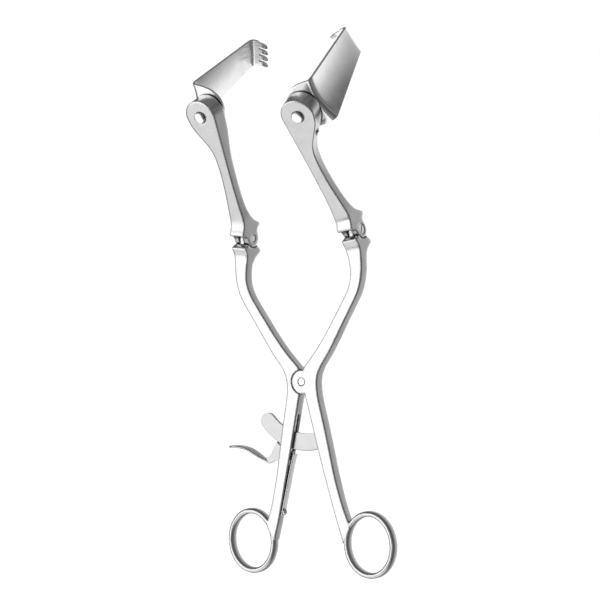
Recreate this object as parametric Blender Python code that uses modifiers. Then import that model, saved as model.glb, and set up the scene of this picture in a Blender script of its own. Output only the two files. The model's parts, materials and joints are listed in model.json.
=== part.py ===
"""Self-retaining spinal retractor with finger rings, folding arms and two toothed blades that swivel.

The instrument lies flat: X to its right, Y along its length towards the blades, Z up out of its front face.
Dimensions are in millimetres, taken from the pivot's axis on the front face, and MM turns them into metres.
Two forged halves lap at one screw, so squeezing the rings spreads the arms. A curved rack fixed in the right
handle runs through a slot of the left one, where a sprung lever stands at its teeth.
"""

import math

import bmesh
import bpy
from mathutils import Matrix, Vector

MM = 0.001

# Frame halves and their lap joint
THICK = 5.5
EDGE_ROUND = 0.5
LAP_R = 5.9
LAP_GAP = 0.3
PIVOT_R = 1.55
PIVOT_HEAD_R = 1.8
PIVOT_HEAD_H = 0.8
PIN_GAP = 0.12  # between a pin and its bore
SKIN = 0.05  # a pin's end lies this far under the face
BEYOND = 11.0  # cutters across the frame start or end this far behind its front face
AXIS_SIZE = 10.0  # drawn size of the empties

# Finger rings, with the right one's centre
RING_CENTRE = (35.7, -80.6)
RING_HALF = (13.4, 15.2)
RING_BAR = 2.7
RING_THICK = 4.8
RING_POINTS = 40

# Arm hinges, with the middle of the right one
HINGE = (33.1, 74.0)
HINGE_DROP = 0.85
HINGE_LEAN = math.radians(7.2)
HINGE_WIDTH = 8.6
TONGUE_WIDTH = 2.6
FORK_GAP = 0.3
CHEEK_R = 4.4
SEAT_GAP = 0.45
HINGE_PIN_R = 1.6
HINGE_HEAD_R = 2.4
HINGE_HEAD_H = 1.0
HINGE_BORE_GAP = 0.15
LEFT_FOLD = math.radians(28.0)
RIGHT_FOLD = math.radians(37.0)

# Arm heads: each stud's place in its arm is given outwards and along it
STUD = (6.5, 68.8)
STUD_R = 2.8
STUD_PROUD = 1.5
STUD_WAIST = 0.45
STUD_TAIL_R = 1.85
STUD_GAP = 0.15
HEAD_R = 8.9
ARM_FRONT = 4.0
ARM_ROUND = 0.45
HEAD_BACK = -4.6

# Ball catch in each head, along a bore that slants down the neck
CATCH_SLANT = math.radians(11.0)
CATCH_BORE_R = 1.55
CATCH_LEVEL = -0.3
BALL_R = 1.3
BALL_AT = 3.85
COIL_AT = 5.35
COIL_LENGTH = 4.3
COIL_R = 0.95
COIL_WIRE = 0.4
COIL_TURNS = 4
PLUG_AT = 10.0
PLUG_LENGTH = 2.6
PLUG_R = 1.4

# Blades: one bent sheet each
BLADE_SHEET = 1.4
BLADE_GAP = 0.3
BLADE_OUT = 8.9  # stud axis to the plate
BLADE_DEPTH = 51.0
BLADE_BASE_W = 23.4
BLADE_TIP_W = 14.7
BLADE_BEND = 2.3
BLADE_BOW = 2.2  # the bend line bows inwards by this much between its ends
BLADE_HOOK = 4.2
BLADE_TIP_BEND = 2.2
BLADE_TIP_BOW = 0.3
BLADE_HOLE_R = 2.0
LEFT_SWIVEL = math.radians(14.0)
RIGHT_SWIVEL = math.radians(5.0)
LEFT_LEAN = 0.155  # rise of the plate towards the far end for each millimetre of depth
RIGHT_LEAN = 0.085
CLAWS = 4
CLAW_LENGTH = 6.0
CLAW_WIDE = 2.6
CLAW_THICK = 1.2

# Ratchet rack: radii about the pivot, and angles from straight down
RACK_IN = 26.0
RACK_OUT = 34.7
RACK_THICK = 1.7
RACK_LEFT = math.radians(57.5)
RACK_RIGHT = math.radians(21.0)
RACK_BARE = math.radians(14.0)
RIVET_ANGLE = math.radians(18.2)
RIVET_INSET = 2.2
RIVET_R = 0.75
TOOTH_STEP = math.radians(1.5)
TOOTH_DEPTH = 0.45
SLOT_WIDTH = 2.2
POCKET_GAP = 0.2
POCKET_ROOM = 0.15  # above and below the rack, and past a blind pin's end

# Release lever, its pin and its leaf spring: the lever's place follows the rack's toothed edge
LEVER_DROP = 4.957  # pin to the teeth, away from the pivot
LEVER_ANGLE = math.radians(18.98)
LEVER_PIN_R = 1.0
LEVER_THICK = 1.7
TANG_THICK = 1.0
TANG_WIDE = 5.5
FRONT_SKIN = 0.7  # the lever pin's bore ends this far under the front face
LEAF_THICK = 0.6
LEAF_WIDE = 3.6
SPRING_SCREW = (-15.75, -65.4)
SPRING_BORE = 4.2
SPRING_SCREW_R = 0.8
SPRING_HEAD_R = 1.65
SPRING_HEAD_H = 1.15
SCREW_SLOT = 0.6

MID = -THICK / 2
HINGE_Z = MID - HINGE_DROP
SEAT_R = CHEEK_R + SEAT_GAP
BLADE_LEVEL = HEAD_BACK - BLADE_GAP - BLADE_SHEET / 2

LEVER_REACH = RACK_OUT + LEVER_DROP
LEVER_PIN = (-LEVER_REACH * math.sin(LEVER_ANGLE), -LEVER_REACH * math.cos(LEVER_ANGLE))
SLOT_TOP = -16.4
SLOT_END = LEVER_PIN[1] - 3.9

# Flared end of the shank: distance below the hinge axis, back face, front face, narrowing of each side
FLARE = [
    (-3.4, -3.7, 3.9, 0.0),
    (-3.8, -4.1, 4.3, 0.0),
    (-4.4, -5.0, 5.2, 0.0),
    (-5.0, -6.0, 6.1, 0.0),
    (-5.6, -6.8, 6.3, 0.0),
    (-6.3, -6.9, 5.9, 0.0),
    (-7.1, -6.3, 5.2, 0.0),
    (-8.2, -5.0, 4.5, 0.05),
    (-9.6, -3.5, 4.0, 0.15),
    (-11.5, -2.5, 3.7, 0.3),
]

# Medial and outer edge of the right half, from below the flare to the ring
STATIONS = [
    ((31.05, 60.3), (38.65, 59.6)),
    ((31.8, 55.0), (38.6, 54.6)),
    ((31.5, 49.8), (37.6, 48.8)),
    ((29.4, 44.3), (35.6, 43.2)),
    ((25.6, 38.2), (32.2, 37.6)),
    ((20.7, 31.0), (27.2, 29.9)),
    ((15.4, 23.3), (21.8, 21.3)),
    ((10.4, 16.8), (16.7, 13.6)),
    ((5.6, 11.4), (12.3, 8.0)),
    ((2.6, 8.3), (10.2, 4.2)),
    ((1.2, 6.0), (9.4, 1.4)),
    ((1.0, 0.0), (9.1, -1.8)),
    ((1.5, -6.0), (9.4, -6.4)),
    ((2.4, -9.4), (10.2, -11.0)),
    ((5.2, -21.0), (12.7, -22.0)),
    ((8.2, -33.4), (15.3, -34.8)),
    ((10.7, -43.4), (17.3, -45.2)),
    ((13.0, -52.2), (19.6, -54.6)),
    ((15.2, -60.6), (21.6, -61.6)),
    ((17.2, -68.0), (23.4, -66.6)),
    ((19.0, -74.0), (24.9, -70.6)),
    ((20.9, -80.0), (25.0, -73.4)),
]

# Knuckle of the arm: distance above the hinge axis, then how far back and front stand out past the round end
KNUCKLE = [
    (1.2, 0.05, 0.1),
    (2.3, 0.3, 0.4),
    (3.2, 0.8, 0.9),
    (3.8, 1.8, 1.7),
    (4.3, 2.9, 2.5),
    (4.9, 3.5, 2.9),
    (5.6, 3.2, 2.8),
    (6.5, 2.4, 2.0),
    (7.6, 1.2, 1.0),
    (9.0, -0.1, 0.3),
    (10.8, -1.2, -0.2),
]

# Shank of the arm: inner edge, outer edge, distance along it, back face, rounding
ARM_ROWS = [
    (-4.2, 4.25, 13.0, -2.3, 0.4),
    (-3.7, 4.0, 17.0, -1.5, ARM_ROUND),
    (-3.3, 3.6, 22.5, -1.15, ARM_ROUND),
    (-3.0, 3.2, 29.0, -1.1, ARM_ROUND),
    (-2.8, 3.1, 35.5, -1.2, ARM_ROUND),
    (-2.65, 3.35, 42.0, -1.4, ARM_ROUND),
    (-2.55, 4.2, 48.0, -1.9, ARM_ROUND),
    (-2.5, 6.1, 52.5, -2.7, ARM_ROUND),
    (-2.45, 8.9, 56.5, -3.6, ARM_ROUND),
    (-2.4, 11.6, 60.0, -4.2, ARM_ROUND),
    (-2.4, 14.0, 64.0, -4.5, ARM_ROUND),
]

# Flange of the blade from its rounded inner edge: distance outwards from the stud, half width
FLANGE = [
    (-8.0, 2.6),
    (-7.6, 4.4),
    (-6.9, 6.1),
    (-5.8, 7.8),
    (-4.2, 9.4),
    (-2.0, 10.9),
    (0.6, 11.7),
    (3.4, 11.9),
    (5.6, 11.9),
]

# Lever seen from the front: pawl nose, lower end of the body, heel, then back up along the rack
LEVER_BODY = [
    (-5.0, 7.35), (-6.6, 4.9), (-8.4, 1.9), (-10.1, -0.2), (-11.7, -1.1), (-12.7, -2.1), (-12.4, -3.3),
    (-10.7, -3.8), (-8.5, -2.9), (-6.7, -2.1), (-3.7, -2.4), (-0.1, -3.0), (2.7, -2.5), (3.5, -1.7),
    (4.6, -0.1), (5.05, 1.5), (4.4, 2.7), (2.5, 3.1), (-1.1, 4.6), (-3.7, 5.7),
]
TANG_LINE = [
    (-11.0, -2.5), (-14.5, -1.1), (-18.5, 1.1), (-22.7, 3.3), (-27.1, 4.5), (-31.1, 4.9), (-34.5, 4.8),
]
LEAF_FOOT = [(-16.2, -67.3), SPRING_SCREW, (-14.2, -59.6), (-12.1, -52.4)]
LEAF_TOP = [(2.8, -7.7), (4.5, -2.3), (5.75, 1.1)]

# Turns a side view, given along and forward, so that it is made solid across
ACROSS = Matrix(((0, 0, 1), (1, 0, 0), (0, 1, 0))).to_4x4()
DEEP = Matrix.Rotation(math.pi / 2, 4, "X")  # a path's second coordinate becomes height


def collection(name):
    made = bpy.data.collections.new(name)
    bpy.context.scene.collection.children.link(made)
    return made


def steel(name, colour, roughness):
    made = bpy.data.materials.new(name)
    made.use_nodes = True
    shader = made.node_tree.nodes["Principled BSDF"]
    shader.inputs["Base Color"].default_value = (*colour, 1.0)
    shader.inputs["Metallic"].default_value = 1.0
    shader.inputs["Roughness"].default_value = roughness
    made.diffuse_color = (*colour, 1.0)
    return made


def shift(x, y, z):
    return Matrix.Translation(Vector((x, y, z)) * MM)


def link(name, data, where, parent=None, matrix=None):
    obj = bpy.data.objects.new(name, data)
    where.objects.link(obj)
    obj.parent = parent
    obj.matrix_local = matrix or Matrix()
    return obj


def axis_empty(name, matrix, parent=None):
    """An empty on a joint's axis, which carries the pieces that turn on it."""
    empty = link(name, None, PIECES, parent, matrix)
    empty.empty_display_size = AXIS_SIZE * MM
    return empty


def from_bmesh(name, work, where, parent=None, matrix=None):
    """An object from the working mesh, its faces turned outwards and its shallow edges shaded smooth."""
    bmesh.ops.remove_doubles(work, verts=work.verts[:], dist=0.001 * MM)
    bmesh.ops.recalc_face_normals(work, faces=work.faces[:])
    data = bpy.data.meshes.new(name)
    work.to_mesh(data)
    work.free()
    data.shade_smooth()
    data.set_sharp_from_angle(angle=math.radians(35))
    return link(name, data, where, parent, matrix)


def from_curve(name, curve, where, parent=None, matrix=None):
    """The mesh of a curve with its bevel and caps, as a mesh object in the same place."""
    guide = link(name, curve, where)
    bpy.context.view_layer.update()
    data = bpy.data.meshes.new_from_object(guide.evaluated_get(bpy.context.evaluated_depsgraph_get()))
    bpy.data.objects.remove(guide)
    work = bmesh.new()
    work.from_mesh(data)
    bpy.data.meshes.remove(data)
    bpy.data.curves.remove(curve)
    return from_bmesh(name, work, where, parent, matrix)


def poly_curve(name, points, cyclic, flat=False):
    curve = bpy.data.curves.new(name, "CURVE")
    curve.dimensions = "2D" if flat else "3D"
    spline = curve.splines.new("POLY")
    spline.points.add(len(points) - 1)
    for point, spot in zip(spline.points, points):
        point.co = (*(Vector(spot).to_3d() * MM), 1.0)
    spline.use_cyclic_u = cyclic
    return curve


def plate(name, outline, low, high, where, parent=None, matrix=None):
    """A flat outline in XY, made solid from height low to high."""
    curve = poly_curve(name, outline, True, flat=True)
    curve.fill_mode = "BOTH"
    curve.extrude = (high - low) / 2 * MM
    return from_curve(name, curve, where, parent, (matrix or Matrix()) @ shift(0, 0, (low + high) / 2))


def flat_bar(
    name, path, wide, thick, where, parent=None, matrix=None, cyclic=False, taper=None, round_steps=1
):
    """A bar with rounded edges along a path in XY: thick in that plane and wide along Z."""
    curve = poly_curve(name, path, cyclic)
    curve.fill_mode = "FULL"
    curve.twist_mode = "Z_UP"
    curve.bevel_depth = thick / 2 * MM
    curve.extrude = (wide - thick) / 2 * MM
    curve.bevel_resolution = round_steps
    curve.use_fill_caps = not cyclic
    for point, size in zip(curve.splines[0].points, taper or []):
        point.radius = size
    return from_curve(name, curve, where, parent, matrix)


def rod(name, start, end, radius, where, parent=None, sides=28):
    start, end = Vector(start), Vector(end)
    axis = end - start
    work = bmesh.new()
    size, length = radius * MM, axis.length * MM
    bmesh.ops.create_cone(work, cap_ends=True, segments=sides, radius1=size, radius2=size, depth=length)
    turn = axis.to_track_quat("Z", "Y").to_matrix().to_4x4()
    return from_bmesh(name, work, where, parent, shift(*((start + end) / 2)) @ turn)


def turned(name, profile, where, parent=None, matrix=None, steps=24):
    """A turned piece: its profile, from the top down the outer side to the bottom, spun about Z."""
    data = bpy.data.meshes.new(name)
    points = [(r * MM, 0.0, z * MM) for r, z in profile]
    data.from_pydata(points, [(i, i + 1) for i in range(len(points) - 1)], [])
    obj = link(name, data, where, parent, matrix)
    screw = obj.modifiers.new("turned", "SCREW")
    screw.steps = steps
    screw.render_steps = steps
    screw.use_merge_vertices = True
    screw.merge_threshold = 0.001 * MM
    return obj


def block(name, size, where, parent=None, matrix=None):
    work = bmesh.new()
    bmesh.ops.create_cube(work, size=1.0, matrix=Matrix.Diagonal((*(Vector(size) * MM), 1.0)))
    return from_bmesh(name, work, where, parent, matrix)


def boolean(target, tool, operation):
    modifier = target.modifiers.new(f"{operation.lower()} {tool.name}", "BOOLEAN")
    modifier.operation = operation
    modifier.solver = "EXACT"
    modifier.object = tool
    tool.hide_render = True
    tool.display_type = "WIRE"


def join(target, tool):
    boolean(target, tool, "UNION")


def cut(target, tool):
    boolean(target, tool, "DIFFERENCE")


def drill(target, word, start, end, radius, parent, sides=28):
    """Bores the target from start to end."""
    cut(target, rod(f"{target.name}_{word}", start, end, radius, HELPERS, parent, sides))


def coat(obj, material):
    obj.data.materials.append(material)
    return obj


def spline_points(points, steps):
    """Points of a smooth curve through these, in any dimension."""
    made = []
    last = len(points) - 1
    for i in range(last):
        before, start, end, after = (points[min(max(k, 0), last)] for k in (i - 1, i, i + 1, i + 2))
        for step in range(steps):
            t = step / steps
            weights = (-t + 2 * t**2 - t**3, 2 - 5 * t**2 + 3 * t**3, t + 4 * t**2 - 3 * t**3, t**3 - t**2)
            made.append(tuple(
                sum(w * v for w, v in zip(weights, values)) / 2 for values in zip(before, start, end, after)
            ))
    return made + [tuple(points[-1])]


def section(left, right, low, high, radius, steps=2):
    """A rounded rectangle between two edge points, from height low to high, as one ring of a loft."""
    left, right = Vector(left), Vector(right)
    across = (right - left).normalized()
    top, bottom = high - radius, low + radius
    corners = ((right, -1, top), (left, 1, top), (left, 1, bottom), (right, -1, bottom))
    ring = []
    for quarter, (edge, sign, height) in enumerate(corners):
        for k in range(steps + 1):
            angle = math.pi / 2 * (quarter + k / steps)
            spot = edge + across * (sign + math.cos(angle)) * radius
            ring.append((spot.x, spot.y, height + radius * math.sin(angle)))
    return ring


def loft(name, rings, where, parent=None, matrix=None):
    """A skin over unlike sections with the same number of points, capped at both ends."""
    work = bmesh.new()
    rows = [[work.verts.new(Vector(point) * MM) for point in ring] for ring in rings]
    for row, after in zip(rows, rows[1:]):
        for k in range(len(row)):
            n = (k + 1) % len(row)
            work.faces.new((row[k], row[n], after[n], after[k]))
    work.faces.new(rows[0])
    work.faces.new(rows[-1])
    return from_bmesh(name, work, where, parent, matrix)


def mirrored(points, side):
    return [(side * point[0], *point[1:]) for point in points]


def arc(radius, start, end, count):
    """Points about the pivot from one angle to another, both measured from straight down."""
    angles = (start + (end - start) * k / (count - 1) for k in range(count))
    return [(radius * math.sin(a), -radius * math.cos(a)) for a in angles]


def half_rings(side):
    """Sections of one half's lever, from its flared end at the hinge down to the ring."""
    across = Vector((math.cos(HINGE_LEAN), math.sin(HINGE_LEAN)))
    along = Vector((-across.y, across.x))
    rings = []
    for reach, back, front, narrower in FLARE:
        middle = Vector(HINGE) + along * reach
        half = across * (HINGE_WIDTH / 2 - narrower)
        rings.append(section(middle - half, middle + half, HINGE_Z + back, HINGE_Z + front, 0.3))
    thin_from, thin_over = -50.0, 16.0
    for x0, y0, x1, y1 in spline_points([(*inner, *outer) for inner, outer in STATIONS], 2):
        thinner = min(max((thin_from - (y0 + y1) / 2) / thin_over, 0.0), 1.0)
        half = (THICK - (THICK - RING_THICK) * thinner) / 2
        rings.append(section((x0, y0), (x1, y1), MID - half, MID + half, EDGE_ROUND))
    return [mirrored(ring, side) for ring in rings]


def finger_ring(name, side, parent):
    a, b = RING_HALF
    turns = (2 * math.pi * k / RING_POINTS for k in range(RING_POINTS))
    path = [(side * (RING_CENTRE[0] + a * math.cos(t)), RING_CENTRE[1] + b * math.sin(t)) for t in turns]
    middle = shift(0, 0, MID)
    return flat_bar(name, path, RING_THICK, RING_BAR, HELPERS, parent, middle, cyclic=True, round_steps=2)


def build_half(side, name, parent, material):
    """One forged half: lever, ring, tongue of the arm hinge and lap disc of the main joint."""
    half = coat(loft(name, half_rings(side), PIECES, parent), material)
    join(half, finger_ring(f"{name}_ring", side, parent))

    seat = shift(side * HINGE[0], HINGE[1], HINGE_Z) @ Matrix.Rotation(side * HINGE_LEAN, 4, "Z")
    hinge = axis_empty(f"{name}_hinge_seat", seat, parent)
    wide = HINGE_WIDTH
    drill(half, "seat", (-wide, 0, 0), (wide, 0, 0), SEAT_R, hinge, sides=36)
    tongue_r = CHEEK_R - 0.3
    root = -SEAT_R - 1.7
    turns = (math.radians(a) for a in range(-30, 211, 12))
    outline = [(tongue_r * math.sin(a), tongue_r * math.cos(a)) for a in turns]
    outline = [(root, 3.2), *outline, (root, -3.0)]
    half_tongue = TONGUE_WIDTH / 2
    join(half, plate(f"{name}_tongue", outline, -half_tongue, half_tongue, HELPERS, hinge, ACROSS))
    drill(half, "hinge_bore", (-wide, 0, 0), (wide, 0, 0), HINGE_PIN_R + HINGE_BORE_GAP, hinge)

    # each disc stands a hair proud of its bar, and the recess gives its inner face
    proud, root_depth = 0.02, 0.6
    lap = LAP_R + LAP_GAP
    if side < 0:
        disc = (-THICK - proud, MID + root_depth)
        recess = (MID, THICK)
    else:
        disc = (MID - root_depth, proud)
        recess = (-BEYOND, MID + LAP_GAP / 2)
    join(half, rod(f"{name}_lap_disc", (0, 0, disc[0]), (0, 0, disc[1]), LAP_R, HELPERS, parent, sides=40))
    drill(half, "lap_recess", (0, 0, recess[0]), (0, 0, recess[1]), lap, parent, sides=40)
    drill(half, "pivot_bore", (0, 0, -BEYOND), (0, 0, THICK), PIVOT_R + PIN_GAP, parent)
    return half


def build_pivot_screw(root, right_frame, material):
    """Its head lies in the right half's disc, and its end is riveted in the left half."""
    seat_floor = -PIVOT_HEAD_H - 0.1
    drill(right_frame, "screw_seat", (0, 0, seat_floor), (0, 0, THICK), PIVOT_HEAD_R + PIN_GAP, root)
    dome = [(0.0, 0.1), (PIVOT_HEAD_R * 0.45, 0.08), (PIVOT_HEAD_R * 0.8, 0.02), (PIVOT_HEAD_R, -0.1)]
    under, end = -PIVOT_HEAD_H, -THICK + SKIN
    shank = [(PIVOT_HEAD_R, under), (PIVOT_R, under), (PIVOT_R, end), (0.0, end)]
    return coat(turned("pivot_screw", dome + shank, PIECES, root), material)


def rack_outline():
    """The curved rack seen from the front, with saw teeth on the edge towards the rings."""
    middle, half = (RACK_OUT + RACK_IN) / 2, (RACK_OUT - RACK_IN) / 2
    round_end = half / middle
    last = -RACK_LEFT + round_end
    points = [*arc(RACK_OUT, RACK_RIGHT, RACK_BARE, 5)]
    for k in range(int((RACK_BARE - last) / TOOTH_STEP)):
        tip = RACK_BARE - k * TOOTH_STEP
        points += arc(RACK_OUT, tip, tip, 2)[:1] if k else []
        points += arc(RACK_OUT - TOOTH_DEPTH, tip - TOOTH_STEP * 0.72, tip, 2)[:1]
    end = Vector(arc(middle, last, last, 2)[0])
    down = Vector(arc(1.0, last, last, 2)[0])
    sideways = Vector((down.y, -down.x))
    for k in range(13):
        turn = math.pi * k / 12
        points.append(tuple(end + (down * math.cos(turn) + sideways * math.sin(turn)) * half))
    return points + arc(RACK_IN, last + math.radians(3), RACK_RIGHT, 22)


def build_rack(right, right_frame, material):
    """The rack sits in a pocket of the right handle, on two rivets that enter from the back."""
    pocket = arc(RACK_OUT + POCKET_GAP, -RIVET_ANGLE * 0.1, RACK_RIGHT + 0.02, 9)
    pocket += arc(RACK_IN - POCKET_GAP, RACK_RIGHT + 0.02, -RIVET_ANGLE * 0.1, 9)
    half_pocket = RACK_THICK / 2 + POCKET_ROOM
    low, high = MID - half_pocket, MID + half_pocket
    cut(right_frame, plate("right_frame_pocket", pocket, low, high, HELPERS, right))
    low, high = MID - RACK_THICK / 2, MID + RACK_THICK / 2
    rack = coat(plate("ratchet_rack", rack_outline(), low, high, PIECES, right), material)
    hole = RIVET_R + 0.1
    top = high + 0.55
    for word, radius in (("upper", RACK_IN + RIVET_INSET), ("lower", RACK_OUT - RIVET_INSET)):
        x, y = arc(radius, RIVET_ANGLE, RIVET_ANGLE, 2)[0]
        back = (x, y, -BEYOND)
        drill(rack, f"{word}_hole", back, (x, y, THICK), hole, right, sides=20)
        drill(right_frame, f"{word}_rivet_hole", back, (x, y, top), hole, right, sides=20)
        ends = ((x, y, -THICK + SKIN), (x, y, top - POCKET_ROOM))
        coat(rod(f"rack_rivet_{word}", *ends, RIVET_R, PIECES, right, sides=20), material)
    return rack


def tang_rings(points):
    """Sections of the thumb tang: a thin plate that stands across the lever's body, with a round end."""
    rings = []
    last = len(points) - 1
    for i, spot in enumerate(points):
        share = i / last
        ahead = Vector(points[min(i + 1, last)]) - Vector(points[max(i - 1, 0)])
        normal = Vector((-ahead.y, ahead.x)).normalized() * TANG_THICK / 2
        grown = min(1.0, share * 3.0)
        rounded = max(0.0, (share - 0.88) / 0.12) ** 2
        half = (TANG_WIDE * (0.35 + 0.65 * grown - 0.3 * rounded)) / 2
        here = Vector(spot)
        rings.append(section(here - normal, here + normal, -half, half, TANG_THICK * 0.3, 1))
    return rings


def build_lever(root, left_frame, material):
    """The lever's flat body lies in the handle's slot on a pin, and its thumb tang is turned across it."""
    half_slot = SLOT_WIDTH / 2
    slot = [(-24.0, SLOT_END), (-2.0, SLOT_END), (-2.0, SLOT_END + 7.4), (-0.5, SLOT_TOP - 0.8)]
    slot += [(-1.5, SLOT_TOP), (-14.0, SLOT_TOP), (-24.0, SLOT_TOP - 13.6)]
    cut(left_frame, plate("left_frame_slot", slot, MID - half_slot, MID + half_slot, HELPERS, root))
    x, y = LEVER_PIN
    bore = LEVER_PIN_R + PIN_GAP
    drill(left_frame, "lever_bore", (x, y, -BEYOND), (x, y, -FRONT_SKIN), bore, root, sides=24)
    pin = axis_empty("release_lever_pin", shift(x, y, MID), root)
    half = LEVER_THICK / 2
    lever = coat(plate("release_lever", LEVER_BODY, -half, half, PIECES, pin), material)
    join(lever, loft("release_lever_tang", tang_rings(spline_points(TANG_LINE, 3)), HELPERS, pin))
    drill(lever, "bore", (0, 0, -THICK), (0, 0, THICK), bore, pin, sides=24)
    ends = ((x, y, -THICK + SKIN), (x, y, -FRONT_SKIN - POCKET_ROOM))
    coat(rod("lever_pin", *ends, LEVER_PIN_R, PIECES, root, sides=24), material)


def build_leaf(root, left_frame, material):
    """The flat spring lies along the handle's inner edge, held near the ring by a round-head screw."""
    at = Vector((*SPRING_SCREW, MID))
    line = LEAF_FOOT + [(LEVER_PIN[0] + x, LEVER_PIN[1] + y) for x, y in LEAF_TOP]
    run = Vector(line[2]) - Vector(line[1])
    out = Vector((run.y, -run.x, 0.0)).normalized()
    path = spline_points(line, 2)
    leaf = flat_bar("leaf_spring", path, LEAF_WIDE, LEAF_THICK, PIECES, root, shift(0, 0, MID))
    coat(leaf, material)
    hole = SPRING_SCREW_R + 0.15
    clear = at + out * 3
    drill(leaf, "hole", at - out * 3, clear, hole, root, sides=20)
    drill(left_frame, "spring_bore", at - out * SPRING_BORE, clear, hole, root, sides=20)
    seat = LEAF_THICK / 2 + 0.15
    head = [(0.0, seat + SPRING_HEAD_H), (SPRING_HEAD_R * 0.55, seat + SPRING_HEAD_H * 0.87)]
    head += [(SPRING_HEAD_R * 0.9, seat + SPRING_HEAD_H * 0.5), (SPRING_HEAD_R, seat)]
    shank = [(SPRING_SCREW_R, seat), (SPRING_SCREW_R, 0.2 - SPRING_BORE), (0.0, 0.2 - SPRING_BORE)]
    turn = out.to_track_quat("Z", "Y").to_matrix().to_4x4()
    screw = coat(turned("spring_screw", head + shank, PIECES, root, shift(*at) @ turn, steps=24), material)
    groove = shift(0, 0, seat + SPRING_HEAD_H) @ Matrix.Rotation(math.radians(35), 4, "Z")
    size = (SPRING_HEAD_R * 3, SCREW_SLOT, SPRING_HEAD_H)
    cut(screw, block("spring_screw_slot", size, HELPERS, screw, groove))


def arm_rings(side):
    """Sections of an arm from its round lower end over the knuckle and up the shank to the head."""
    half = HINGE_WIDTH / 2
    rings = []
    for degrees in (80, 65, 50, 35, 20, 5):
        angle = math.radians(degrees)
        low, deep = -CHEEK_R * math.sin(angle), CHEEK_R * math.cos(angle)
        rings.append(section((-half, low), (half, low), -deep, deep, 0.3))
    for along, back, front in KNUCKLE:
        rings.append(section((-half, along), (half, along), -CHEEK_R - back, CHEEK_R + front, 0.3))
    out, up = STUD
    rows = ARM_ROWS + [(out - HEAD_R, out + HEAD_R, up, HEAD_BACK, ARM_ROUND)]
    for inner, outer, along, back, radius in spline_points(rows, 2):
        rings.append(section((inner, along), (outer, along), back, ARM_FRONT, radius))
    for k in range(1, 11):
        angle = math.pi / 2 * k / 11
        rise, reach = HEAD_R * math.sin(angle), HEAD_R * math.cos(angle)
        ends = ((out - reach, up + rise), (out + reach, up + rise))
        rings.append(section(*ends, HEAD_BACK, ARM_FRONT, ARM_ROUND))
    return [mirrored(ring, side) for ring in rings]


def build_hinge_screw(word, side, hinge, material):
    """A slotted screw across the fork, its head sunk in the outer cheek."""
    top = HINGE_WIDTH / 2 - 0.1
    under = top - HINGE_HEAD_H
    end = -HINGE_WIDTH / 2 + 0.1
    profile = [(0.0, top), (HINGE_HEAD_R, top), (HINGE_HEAD_R, under)]
    profile += [(HINGE_PIN_R, under), (HINGE_PIN_R, end), (0.0, end)]
    turn = Matrix.Rotation(side * math.pi / 2, 4, "Y") @ Matrix.Rotation(math.radians(28), 4, "Z")
    screw = coat(turned(f"{word}_hinge_screw", profile, PIECES, hinge, turn), material)
    size = (3 * HINGE_HEAD_R, SCREW_SLOT, HINGE_HEAD_H)
    cut(screw, block(f"{word}_hinge_screw_slot", size, HELPERS, screw, shift(0, 0, top)))


def build_catch(word, side, arm, hinge, bright, dark):
    """Ball, coil spring and slotted plug in a bore that runs from the stud's groove through the neck."""
    way = Vector((side * math.sin(CATCH_SLANT), -math.cos(CATCH_SLANT), 0.0))
    centre = Vector((side * STUD[0], STUD[1], CATCH_LEVEL))
    drill(arm, "catch_bore", centre + way, centre + way * 22, CATCH_BORE_R, hinge, sides=24)
    work = bmesh.new()
    bmesh.ops.create_uvsphere(work, u_segments=14, v_segments=8, radius=BALL_R * MM)
    coat(from_bmesh(f"{word}_catch_ball", work, PIECES, hinge, shift(*(centre + way * BALL_AT))), bright)

    coil_turn = way.to_track_quat("Z", "Y").to_matrix().to_4x4()
    steps = COIL_TURNS * 8
    coil = []
    for k in range(steps + 1):
        angle = 2 * math.pi * k / 8
        coil.append((COIL_R * math.cos(angle), COIL_R * math.sin(angle), COIL_LENGTH * k / steps))
    curve = poly_curve(f"{word}_catch_spring", coil, False)
    curve.bevel_depth = COIL_WIRE / 2 * MM
    curve.bevel_resolution = 1
    curve.use_fill_caps = True
    place = shift(*(centre + way * COIL_AT)) @ coil_turn
    coat(from_curve(f"{word}_catch_spring", curve, PIECES, hinge, place), dark)

    ends = (centre + way * PLUG_AT, centre + way * (PLUG_AT + PLUG_LENGTH))
    plug = coat(rod(f"{word}_catch_screw", *ends, PLUG_R, PIECES, hinge, sides=24), dark)
    face = shift(0, 0, PLUG_LENGTH / 2)
    cut(plug, block(f"{word}_catch_screw_slot", (SCREW_SLOT, 3 * PLUG_R, PLUG_R), HELPERS, plug, face))


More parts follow.
